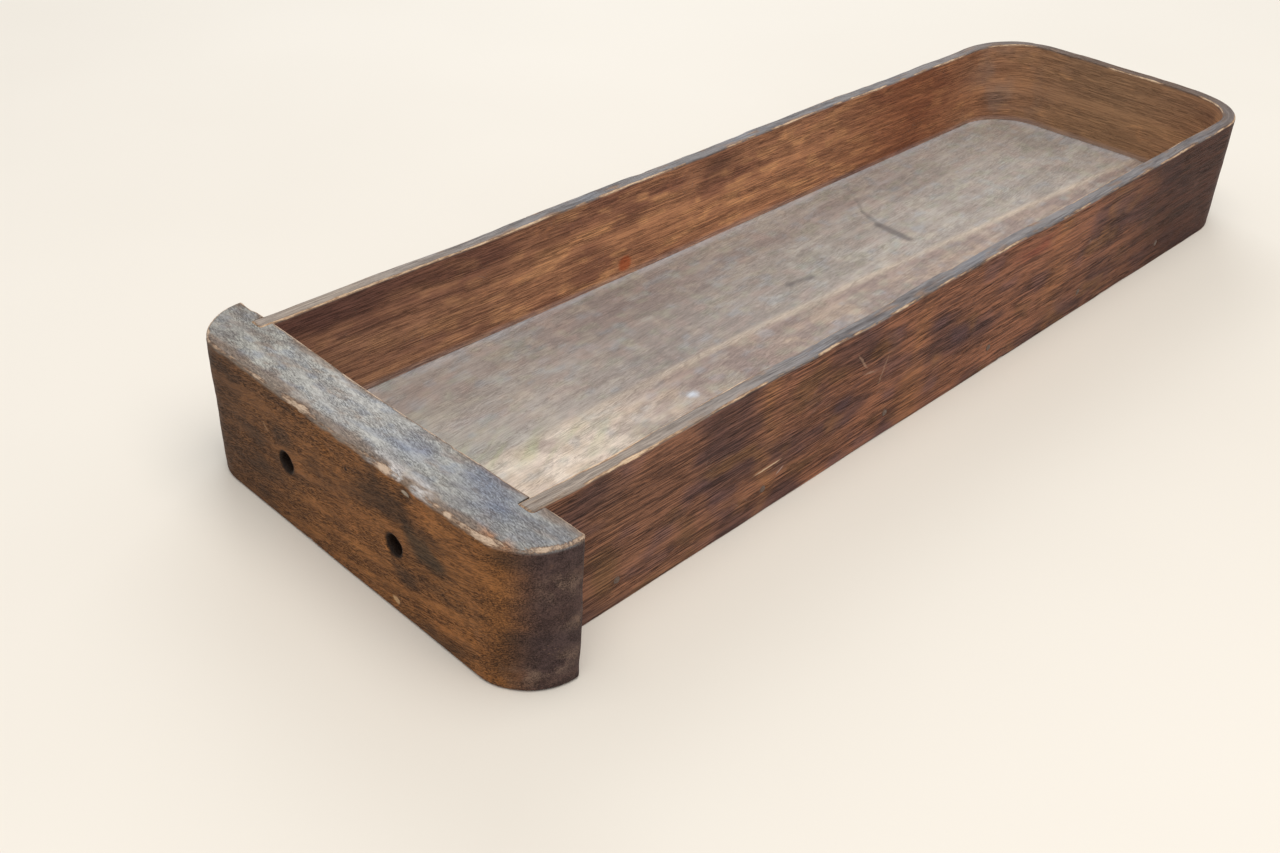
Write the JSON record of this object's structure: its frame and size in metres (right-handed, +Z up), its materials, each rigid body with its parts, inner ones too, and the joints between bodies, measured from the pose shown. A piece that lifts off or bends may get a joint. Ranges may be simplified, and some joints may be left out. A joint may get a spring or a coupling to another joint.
{
  "type": "bentwood drawer",
  "caption": "Long narrow shallow oak drawer: a solid front block with rounded overhanging ends, sides and back bent from one strip, and a pinned bottom board; the pull is missing.",
  "frame": {"origin": "centre of the underside of the whole drawer, on the surface that it stands on", "axes": "+Y from the front block towards the bent back, along the length; +Z up out of the open top; +X across, to the right of someone facing the front"},
  "size_m": [0.155, 0.4226, 0.0485],
  "materials": {
    "block_oak": "worn dark stained oak, greyed on top",
    "rim_oak": "worn dark reddish brown stained oak",
    "bottom_oak": "dry dusty grey brown oak",
    "brad_iron": "dull rusty iron"
  },
  "bodies": {
    "root": {"front_block": "block_oak", "bent_rim": "rim_oak", "bottom_board": "bottom_oak", "brad_left_1": "brad_iron", "brad_left_2": "brad_iron", "brad_left_3": "brad_iron", "brad_left_4": "brad_iron", "brad_left_5": "brad_iron", "brad_left_6": "brad_iron", "brad_right_1": "brad_iron", "brad_right_2": "brad_iron", "brad_right_3": "brad_iron", "brad_right_4": "brad_iron", "brad_right_5": "brad_iron", "brad_right_6": "brad_iron", "brad_back_left": "brad_iron", "brad_back_right": "brad_iron"}
  },
  "joints": []
}
